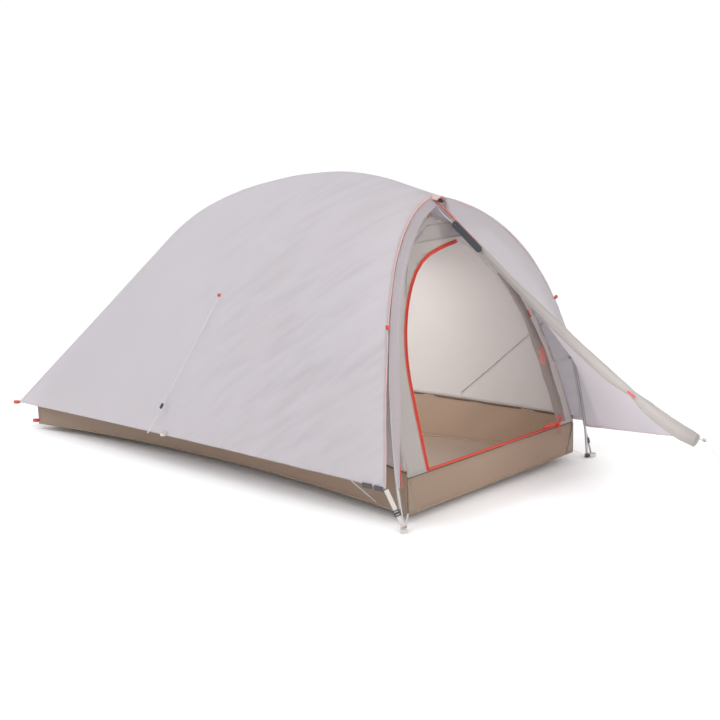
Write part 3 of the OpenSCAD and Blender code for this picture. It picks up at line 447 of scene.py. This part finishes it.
BINDING = (0.115, 0.075, 0.05)
binding_finish = Finish("tub_binding_tape", BINDING, 0.7, Sheen_Weight=0.1)
x, y, z = binding_finish.axes()
ribs = (y + x).part(0.0016)
binding_finish.paint(binding_finish.blend(binding_finish.grain(40), BINDING, darker(BINDING, 0.7)))
binding_finish.raised(ribs, 0.3, 0.0003)
for side, sign in (("left", -1), ("right", 1)):
    path = [tub_rim(i / 60, sign) + Vector((0, 0.0015 if i == 0 else 0, -0.002)) for i in range(61)]
    bm = swept(path, lambda t, a: 0.0045, 10, (0.45, 1))
    finished(f"tub_{side}_binding", bm, binding_finish)
path = [Vector((k * 0.0493, -0.7915, 0.1445)) for k in range(-10, 11)]
finished("tub_sill_binding", swept(path, lambda t, a: 0.0035, 10, (0.45, 1)), binding_finish)

# Tape inside covers the seam between the floor and its walls.
seam_finish = Finish("tub_seam_tape", TAN_DARK, 0.7)
seam_finish.paint(seam_finish.blend(seam_finish.grain(50), TAN_DARK, darker(TAN_DARK, 0.75)))
for side, sign in (("left", -1), ("right", 1)):
    path = [Vector((sign * (tub_half(i / 60) - 0.0005), -0.7925 + 2.18 * i / 60, 0.0295)) for i in range(61)]
    finished(f"tub_{side}_seam", swept(path, lambda t, a: 0.004, 10, (0.5, 1)), seam_finish)
for end, y, half in (("front", -0.792, 0.493), ("rear", 1.387, 0.4)):
    path = [Vector((half * k / 12, y, 0.0295)) for k in range(-12, 13)]
    finished(f"tub_{end}_seam", swept(path, lambda t, a: 0.004, 10, (0.5, 1)), seam_finish)

patch_finish = cloth_finish("tub_corner_cloth", darker(TAN_DARK, 0.8), darker(TAN_DARK, 0.65), 0.6, 1, hem=0.006)
for side, sign in (("left", -1), ("right", 1)):
    bm = bmesh.new()
    low, high = Vector((sign * 0.494, -0.7945, 0.031)), Vector((sign * 0.494, -0.7945, 0.143))
    foot = Vector((sign * 0.445, -0.7945, 0.031))
    bm.faces.new([bm.verts.new(p) for p in (low, high, high.lerp(foot, 0.12), foot)])
    bmesh.ops.subdivide_edges(bm, edges=bm.edges, cuts=8, use_grid_fill=True)
    bmesh.ops.recalc_face_normals(bm, faces=bm.faces)
    if bm.faces[:][0].normal.y > 0:
        bmesh.ops.reverse_faces(bm, faces=bm.faces)
    measured_edges(bm)
    piece = finished(f"tub_{side}_corner_patch", bm, patch_finish)
    solid = piece.modifiers.new("thickness", "SOLIDIFY")
    solid.thickness, solid.offset = 0.0006, -1

# ---------------------------------------------------------------- the inner tent
# White breathable nylon hung from the poles. Its front wall leans back over the sill, with
# netting at the top, and is cut out for the door. Side walls meet in a seam under the spine.
PALE, PALE_SHADE = (0.74, 0.715, 0.7), (0.66, 0.635, 0.62)
WALL_OUT = Vector((0, -0.95650, 0.29173))
WALL_UP = Vector((0, 0.29173, 0.95650))
SILL = Vector((0, -0.7925, 0.1462))


def on_wall(x, z, out=0.0):
    """A point on the front wall at a width and a height, held out in front of it."""
    rise = (z - SILL.z) / WALL_UP.z
    return SILL + Vector((x, 0, 0)) + WALL_UP * rise + WALL_OUT * out


inner_finish = cloth_finish("inner_cloth", PALE, PALE_SHADE, 0.7, 0.93, through=0.5, hem=0.008, grid=0.005)
front_finish = cloth_finish("inner_front_cloth", PALE, PALE_SHADE, 0.7, 0.55, through=0.5, hem=0.006)
# The netting's grey is partly painted shade: it stands in for the shaded inside seen through the mesh.
net_and_shade_finish = Finish("inner_netting_and_shade", (0.42, 0.39, 0.38), 0.85)
x, y, z = net_and_shade_finish.axes()
holes = (abs(x.part(0.002) - 0.5) < 0.3) * (abs(z.part(0.002) - 0.5) < 0.3)
net_and_shade_finish.paint(0.62 - holes * 0.25, "Alpha")
net_and_shade_finish.paint(net_and_shade_finish.blend(net_and_shade_finish.grain(30), (0.42, 0.39, 0.38), (0.5, 0.47, 0.46)))

bm = cloth_face("inner_front_wall", WALL_OUT, 0)
for axis, low, high in ((Vector((1, 0, 0)), -0.5, 0.5), (Vector((0, 0, 1)), 0.14, 0.96)):
    for k in range(1, int((high - low) / 0.025)):
        bmesh.ops.bisect_plane(bm, geom=bm.verts[:] + bm.edges[:] + bm.faces[:],
                               plane_co=axis * (low + k * 0.025), plane_no=axis)
sheet("inner_front_sheet", bm, front_finish, "inner_front_wall",
      thick=0.0008)
for side, sign in (("left", -1), ("right", 1)):
    bm = cloth_face(f"inner_{side}_side", (sign * 0.75, 0, 0.66), 2)
    creased(bm, lambda p: 0.003 * noise.noise(p * 3.1 + Vector((sign, 0, 0)))
            + 0.0025 * folds(p, 0.9, 11, 2, 4.0 * sign))
    sheet(f"inner_{side}_sheet", bm, inner_finish, f"inner_{side}_side")
bm = cloth_face("inner_rear_wall", (0, 0.75, 0.66), 2)
creased(bm, lambda p: 0.002 * noise.noise(p * 4))
sheet("inner_rear_sheet", bm, inner_finish, "inner_rear_wall")

tape_finish = Finish("inner_seam_tape", (0.3, 0.27, 0.25), 0.7)
tape_finish.paint(tape_finish.blend(tape_finish.grain(25), (0.36, 0.33, 0.31), (0.28, 0.25, 0.24)))
seam_line = [on_wall(x, z, 0.003) for x, z in ((0.1, 0.856), (0, 0.852), (-0.1, 0.848), (-0.185, 0.844),
                                               (-0.222, 0.8), (-0.258, 0.74), (-0.285, 0.68))]
finished("inner_net_binding", swept(seam_line, lambda t, a: 0.002 * (1 - 0.5 * t), 8, (1, 0.5), WALL_OUT),
         tape_finish)
# A seam runs down the right-hand wall from the door's jamb to the floor's side.
slant = [Vector(p) for p in ((0.452, -0.69, 0.515), (0.4398, -0.6083, 0.4492), (0.4334, -0.5127, 0.3692),
                             (0.4225, -0.4167, 0.2874), (0.4124, -0.3218, 0.2072))]
slant = [a.lerp(b, k / 6) - Vector((0.002, 0, 0)) for a, b in zip(slant, slant[1:]) for k in range(6)]
slant_finish = woven("inner_slant_tape", (0.47, 0.44, 0.43), (0.36, 0.33, 0.32))
finished("inner_side_seam", swept(slant, lambda t, a: 0.0025, 8, (0.4, 1)), slant_finish)
bm = bmesh.new()
corners = [bm.verts.new(on_wall(x, z, 0.0026)) for x, z in ((-0.185, 0.845), (0.1, 0.855), (0.05, 0.905), (-0.08, 0.9))]
bm.faces.new(corners)
bmesh.ops.subdivide_edges(bm, edges=bm.edges, cuts=6, use_grid_fill=True)
if bm.faces[:][0].normal.dot(WALL_OUT) < 0:
    bmesh.ops.reverse_faces(bm, faces=bm.faces)
net = finished("inner_net_panel", bm, net_and_shade_finish)
solid = net.modifiers.new("thickness", "SOLIDIFY")
solid.thickness = 0.0005

# ---------------------------------------------------------------- the inner's door
# The zip runs from the top of the door down its left side and along the sill. The door is
# unzipped and rolled on its right-hand jamb, and a red toggle through a loop holds the roll.
RED, RED_DARK = (0.66, 0.075, 0.045), (0.45, 0.04, 0.025)


def moulded(name, colour, roughness=0.45):
    """Moulded nylon with a fine satin grain."""
    finish = Finish(name, colour, roughness)
    grain = finish.grain(900, 2)
    finish.paint(finish.blend(finish.grain(25, 3), colour, darker(colour, 0.8)))
    finish.raised(grain, 0.15, 0.0002)
    return finish


def soft_copy(name, node, finish, keep=None, edge=0.0003, body="tent"):
    """A CAD strap or tape with its edges rounded over, or the part of it that keep picks."""
    bm = bmesh.new()
    bm.from_mesh(cad[node].data)
    bmesh.ops.remove_doubles(bm, verts=bm.verts, dist=1e-6)
    if keep:
        bmesh.ops.delete(bm, geom=[v for v in bm.verts if not keep(v.co)], context="VERTS")
    bmesh.ops.dissolve_limit(bm, angle_limit=0.02, verts=bm.verts, edges=bm.edges)
    sharp = [e for e in bm.edges if len(e.link_faces) == 2 and e.calc_face_angle(0) > 0.6]
    bmesh.ops.bevel(bm, geom=sharp, offset=edge, offset_type="OFFSET", affect="EDGES", segments=2,
                    profile=0.5, material=-1, clamp_overlap=True)
    bmesh.ops.triangulate(bm, faces=bm.faces)
    piece = finished(name, bm, finish, body, smooth=False)
    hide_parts(node)
    return piece


def carry(finish, *nodes):
    """Gives CAD nodes their finish."""
    for node in nodes:
        cad[node].data.materials.clear()
        cad[node].data.materials.append(finish.material)


red_tape = woven("red_zip_tape", RED, RED_DARK)
red_coil = Finish("red_zip_coil", RED, 0.5)
x, y, z = red_coil.axes()
teeth = abs((x + y * 0.9 + z * 1.1).part(0.0022) - 0.5)
red_coil.paint(red_coil.blend(teeth, RED, RED_DARK))
red_coil.raised(teeth, 0.8, 0.0006)
red_metal = moulded("red_slider_paint", (0.6, 0.06, 0.04), 0.35)
red_plastic = moulded("red_toggle_plastic", (0.62, 0.065, 0.04), 0.4)
soft_copy("inner_zip_tapes", "inner_zip_tape", red_tape, edge=0.0002)
carry(red_coil, "inner_zip_coil", "fly_zip_coil")
carry(red_metal, "inner_zip_slider", "fly_zip_slider")
carry(red_plastic, "inner_zip_pull", "fly_zip_pull", "inner_door_toggle", "fly_door_toggle")


# The loose end of the door's zip tape is bunched at the right of the sill, with its tail.
bunch = [Vector(p) for p in ((0.266, -0.8085, 0.165), (0.292, -0.811, 0.172), (0.318, -0.813, 0.166),
                             (0.345, -0.816, 0.176), (0.362, -0.812, 0.192), (0.385, -0.812, 0.188),
                             (0.374, -0.815, 0.174), (0.35, -0.818, 0.168))]
bunch = [a.lerp(b, k / 5) for a, b in zip(bunch, bunch[1:]) for k in range(5)]
bm = swept(bunch, lambda t, a: 0.0048 * (1 + 0.2 * math.sin(9 * t)), 10, (0.5, 1))
finished("inner_zip_bunch", bm, red_tape)
tail = [Vector((0.348 - 0.012 * k / 8, -0.82 - 0.002 * math.sin(k), 0.166 - 0.038 * k / 8)) for k in range(9)]
finished("inner_zip_tail", swept(tail, lambda t, a: 0.0016, 8), red_tape)


def steps(table, t):
    """A value read off a table of (place, value) rows, straight between them."""
    for (a, p), (b, q) in zip(table, table[1:]):
        if t <= b:
            return p + (q - p) * (t - a) / (b - a)
    return table[-1][1]


def rolled(name, path, radius_of, finish, node, laps=0.5, segments=40, depth=0.1):
    """Cloth rolled round itself: a lapped edge that wanders round the roll, and long slack folds."""
    def radius(t, angle):
        turn = (angle / math.tau + laps * t) % 1
        lap = depth * (turn if turn < 0.94 else (1 - turn) * 15)
        slack = noise.noise(Vector((t * 9, 1.6 * math.cos(angle), 1.6 * math.sin(angle)))) * 0.16
        crease = noise.noise(Vector((t * 34, 3 * math.cos(angle), 3 * math.sin(angle)))) * 0.06
        return radius_of(t) * (0.9 + lap + slack + crease)
    piece = finished(name, swept(path, radius, segments), finish)
    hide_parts(node)
    return piece


roll_cloth = cloth_finish("rolled_netting", (0.3, 0.25, 0.235), (0.2, 0.165, 0.155), 0.75, 1, hem=0)
# A little of the red tape inside shows through the roll at mid-height.
x, y, z = roll_cloth.axes()
showing = (abs(z - 0.4) < 0.045) * (roll_cloth.grain(34, 2) > 0.54)
tint = roll_cloth.shader.inputs["Base Color"].links[0].from_socket
roll_cloth.paint(roll_cloth.blend(showing * 0.6, Wire(roll_cloth, tint), (0.6, 0.15, 0.12)))
ROLL_OUT = 0.0215
jamb_points = ((0.3878, 0.16), (0.384, 0.23), (0.378, 0.3), (0.373, 0.365), (0.366, 0.42), (0.352, 0.49),
               (0.332, 0.56), (0.305, 0.62), (0.272, 0.67), (0.237, 0.71))
path = [on_wall(*jamb_points[0], ROLL_OUT)]
for a, b in zip(jamb_points, jamb_points[1:]):
    path += [on_wall(a[0] + (b[0] - a[0]) * k / 5, a[1] + (b[1] - a[1]) * k / 5, ROLL_OUT) for k in range(1, 6)]
rolled("inner_door_bundle", path,
       lambda t: 0.0185 * steps(((0, 0.9), (0.4, 1), (0.55, 0.85), (0.63, 0.6), (0.7, 0.75), (1, 0.45)), t),
       roll_cloth, "inner_door_roll", laps=0.3, segments=28)

# ---------------------------------------------------------------- poles
# Anodised aluminium tubes in sections that butt over inner ferrules, strung on elastic cord,
# and joined at the top by a moulded hub. Their tips stand in cups at the tent's three corners.
pole_finish = Finish("pole_anodising", (0.5, 0.495, 0.49), 0.34, 0.85)
x, y, z = pole_finish.axes()
pole_finish.paint(pole_finish.blend(pole_finish.grain(9, 4), (0.55, 0.54, 0.535), (0.42, 0.415, 0.41)))
pole_finish.raised(pole_finish.grain(260, 2, (1, 0.1, 0.1)), 0.12, 0.0002)
carry(pole_finish, *[f"spine_pole_{i}" for i in range(1, 7)],
      *[f"{side}_leg_{i}" for side in ("left", "right") for i in (1, 2, 3)])
ferrule_finish = Finish("ferrule_metal", (0.66, 0.66, 0.67), 0.3, 0.95)
ferrule_finish.paint(ferrule_finish.blend(ferrule_finish.grain(60), (0.66, 0.66, 0.67), (0.55, 0.55, 0.56)))
carry(ferrule_finish, "pole_ferrules")
elastic = woven("shock_cord_sleeve", (0.08, 0.08, 0.085), (0.03, 0.03, 0.03), 0.002)
carry(elastic, "shock_cords")
dark_nylon = moulded("dark_nylon", (0.045, 0.045, 0.05))
grey_nylon = moulded("grey_nylon", (0.34, 0.335, 0.33))
carry(dark_nylon, "hub", "left_foot_cup", "right_foot_cup", "rear_foot_cup", "left_strap_buckle",
      "right_strap_buckle", "side_guy_lock")
carry(grey_nylon, "pole_tips", "pole_clips")
red_webbing = woven("red_webbing", RED, RED_DARK)
pale_webbing = woven("pale_webbing", (0.6, 0.56, 0.53), (0.48, 0.45, 0.43))
dark_webbing = woven("dark_webbing", (0.075, 0.075, 0.085), (0.04, 0.04, 0.045))
soft_copy("spine_clip_tabs", "clip_tabs", red_webbing, keep=lambda p: abs(p.x) < 0.02)
soft_copy("leg_clip_tabs", "clip_tabs", pale_webbing, keep=lambda p: abs(p.x) >= 0.02)

# ---------------------------------------------------------------- the fly
# Thin see-through nylon in two sides, a rear and a porch, pulled tight over the poles. The
# sides are drawn out by a guyline at their middle, which leaves slanting creases by the legs.
FLY, FLY_SHADE = (0.7, 0.672, 0.71), (0.655, 0.615, 0.635)
PINK = (0.74, 0.4, 0.38)
fly_finish = cloth_finish("fly_cloth", FLY, FLY_SHADE, 0.5, 0.84, through=0.4, hem=0.012)
porch_finish = cloth_finish("fly_porch_cloth", FLY, FLY_SHADE, 0.5, 0.84, through=0.5, hem=0.01, edging=PINK)
# Painted shade: faint darker streaks run down the creases by the legs, standing in for the shade in their folds, and
# fade towards the foot end.
x, y, z = fly_finish.axes()
slope = fly_finish.node("ShaderNodeCombineXYZ", X=(y * 0.84 - z * 0.54) * 2.2, Y=(y * 0.54 + z * 0.84) * 17, Z=0.0)
painted_crease_shade = fly_finish.node("ShaderNodeTexNoise", Vector=slope, Scale=1.3, Detail=3.0)
plain = Wire(fly_finish, fly_finish.shader.inputs["Base Color"].links[0].from_socket)
near_leg = plain.maths("MAXIMUM", plain.maths("MINIMUM", (0.5 - y) * 1.6, 1.0), 0.0)
fly_finish.paint(fly_finish.blend(abs(painted_crease_shade - 0.5) * near_leg * 1.9, plain, darker(FLY_SHADE, 0.72)))
flap_finish = cloth_finish("fly_flap_cloth", FLY, FLY_SHADE, 0.55, 0.6, through=0.45, hem=0.004)
GUY = Vector((0, 0.1695, 0.65))


def fly_slack(p):
    """How far the fly's side stands out at a point: tension folds, and the pull of the guyline."""
    window = math.exp(-((p.y + 0.35) / 0.42) ** 2 - ((p.z - 0.47) / 0.24) ** 2)
    slant = 0.014 * window * folds(p, math.radians(-33), 17, 2.2, 3.3)
    fine = 0.006 * window * folds(p, math.radians(-27), 38, 3.5, 8.1)
    away = Vector((0, p.y, p.z)) - GUY
    run = away.y * 0.465 - away.z * 0.885
    off = away.y * 0.885 + away.z * 0.465
    pull = 0.009 * math.exp(-(off / 0.07) ** 2 - (run / 0.3) ** 2)
    rear = 0.003 * folds(p, math.radians(-52), 7, 1.4, 5.7)
    hem = 0.004 * max(0, 1 - (p.z - 0.13) / 0.12) * noise.noise(Vector((p.y * 11, 0, 2)))
    return slant + fine + pull + rear + hem


pink_tape = woven("fly_seam_tape", PINK, darker(PINK, 0.85), 0.003)
pale_seam = woven("fly_pale_seam_tape", darker(FLY, 0.8), darker(FLY, 0.6), 0.003)
for side, sign in (("left", -1), ("right", 1)):
    bm = cloth_face(f"fly_{side}_side", (sign * 0.75, 0, 0.66), 3)
    creased(bm, fly_slack)
    door_edge = [v.co.copy() for v in bm.verts
                 if v.is_boundary and v.co.y < -0.4 and abs(v.co.x) > 0.012 and v.co.z > 0.14]
    door_edge.sort(key=lambda p: p.z)
    finished(f"fly_{side}_seam_tape", swept(door_edge, lambda t, a: 0.004, 10, (0.3, 1)),
             pink_tape if sign < 0 else pale_seam)
    sheet(f"fly_{side}_sheet", bm, fly_finish, f"fly_{side}_side")
bm = cloth_face("fly_rear", (0, 0.75, 0.66), 3)
creased(bm, lambda p: 0.004 * noise.noise(Vector((p.x * 6, p.z * 2, 1.5))))
sheet("fly_rear_sheet", bm, fly_finish, "fly_rear")
bm = cloth_face("fly_porch", (0.7, -0.45, 0.55), 2, least=0.1)
creased(bm, lambda p: 0.006 * noise.noise(Vector((p.x * 5 - p.z * 3, p.y * 2.4, 4.4)))
        + 0.003 * noise.noise(Vector((p.x * 15 + p.z * 9, p.y * 3, 2.4))))
sheet("fly_porch_sheet", bm, porch_finish, "fly_porch")
bm = cloth_face("fly_zip_flap", (-0.64, -0.75, 0.1), 1, least=0.1)
creased(bm, lambda p: 0.0015 * noise.noise(p * 22))
sheet("fly_flap_sheet", bm, flap_finish, "fly_zip_flap")

# ---------------------------------------------------------------- the rolled door half
# The porch's left half is unzipped and rolled up along the ridge that runs to the porch's tip.
# The red teeth of its zip show at the top, where a stiff dark strut props it open as a vent.
RIDGE_TOP, RIDGE_TIP = (-0.5305, 0.997), (-1.5195, 0.272)


def crossing(p, a, q, b):
    """Where the line through p at angle a meets the line through q at angle b."""
    h, k = (math.cos(a), math.sin(a)), (math.cos(b), math.sin(b))
    t = ((q[0] - p[0]) * k[1] - (q[1] - p[1]) * k[0]) / (h[0] * k[1] - h[1] * k[0])
    return (p[0] + t * h[0], p[1] + t * h[1])


RIDGE_KNEE = crossing(RIDGE_TOP, math.radians(41), RIDGE_TIP, math.radians(16))


def ridge(t, x=0.0):
    y, z = ((1 - t) ** 2 * a + 2 * t * (1 - t) * b + t * t * c
            for a, b, c in zip(RIDGE_TOP, RIDGE_KNEE, RIDGE_TIP))
    return Vector((x, y, z))


def fly_roll_radius(t):
    return 0.02 * steps(((0, 0.45), (0.15, 0.55), (0.4, 0.9), (0.575, 0.9), (0.655, 0.55), (0.725, 0.95),
                         (0.9, 1.15), (1, 1)), t)


def fly_roll_at(t):
    return ridge(t, -fly_roll_radius(t) - 0.0012) - Vector((0, 0, fly_roll_radius(t) * 0.1))


# The roll is the fly's own cloth painted darker: painted shade of the rolled layers.
fly_roll_shaded_cloth = cloth_finish("fly_roll_shaded_cloth", (0.5, 0.465, 0.45), (0.38, 0.345, 0.33), 0.6, 1, through=0.25, hem=0)
ROLL_FROM, ROLL_TO = 0.06, 0.985
path = [fly_roll_at(ROLL_FROM + (ROLL_TO - ROLL_FROM) * i / 130) for i in range(131)]
rolled("fly_door_bundle", path, lambda t: fly_roll_radius(ROLL_FROM + (ROLL_TO - ROLL_FROM) * t),
       fly_roll_shaded_cloth, "fly_door_roll", laps=0.7, segments=48, depth=0.14)
path = [ridge(t, -0.012) + Vector((-0.004, -0.002, 0.003 + 0.05 * t)) for t in [0.012 + 0.008 * i for i in range(16)]]
finished("fly_door_zip_tape", swept(path, lambda t, a: 0.0045, 10, (0.5, 1), (-0.9, -0.3, 0.2)), red_tape)
path = [Vector((-0.02, -0.548, 0.972)).lerp(ridge(0.07, -0.03), k / 10) - Vector((0, 0, 0.004 * math.sin(k * 0.314)))
        for k in range(11)]
finished("vent_strut_cord", swept(path, lambda t, a: 0.0016, 8), cord_finish)
strut_finish = moulded("strut_cover", (0.05, 0.055, 0.065), 0.5)
carry(strut_finish, "vent_strut")

# The three sheets meet over the hub under a pink facing.
peak_finish = cloth_finish("peak_facing", (0.78, 0.5, 0.47), (0.74, 0.55, 0.52), 0.6, 0.85, through=0.3, hem=0.004)
bm = bmesh.new()
bmesh.ops.create_grid(bm, x_segments=14, y_segments=14, size=0.03)
for v in bm.verts:
    reach = v.co.length
    v.co = Vector((0, -0.5365, 0.9995)) + Vector((v.co.x, v.co.y * 1.1, -0.35 * abs(v.co.x) - 10 * reach * reach * 0.4))
measured_edges(bm)
peak = finished("fly_peak_facing", bm, peak_finish)
solid = peak.modifiers.new("thickness", "SOLIDIFY")
solid.thickness, solid.offset = 0.0008, 1

# ---------------------------------------------------------------- tabs, loops and straps
# Red webbing tabs take the guylines and the rear stakes; the front corners have pale webbing
# that runs from the hem through a ladder-lock buckle to the foot of each leg pole.
soft_copy("guyline_tabs", "guy_tabs", red_webbing)
soft_copy("rear_stake_loops", "hem_loops", red_webbing, keep=lambda p: p.y > 1)
soft_copy("pale_stake_loops", "hem_loops", pale_webbing, keep=lambda p: p.y <= 1)
soft_copy("hem_label_tabs", "hem_tags", dark_webbing, edge=0.0002)
soft_copy("front_corner_webbing", "corner_straps", pale_webbing, edge=0.0004)
soft_copy("tub_tie_webbing", "tub_ties", pale_webbing, edge=0.0002)

corners = {"cad": [list(c) for c in cad_box], "visual": [list(c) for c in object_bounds()]}
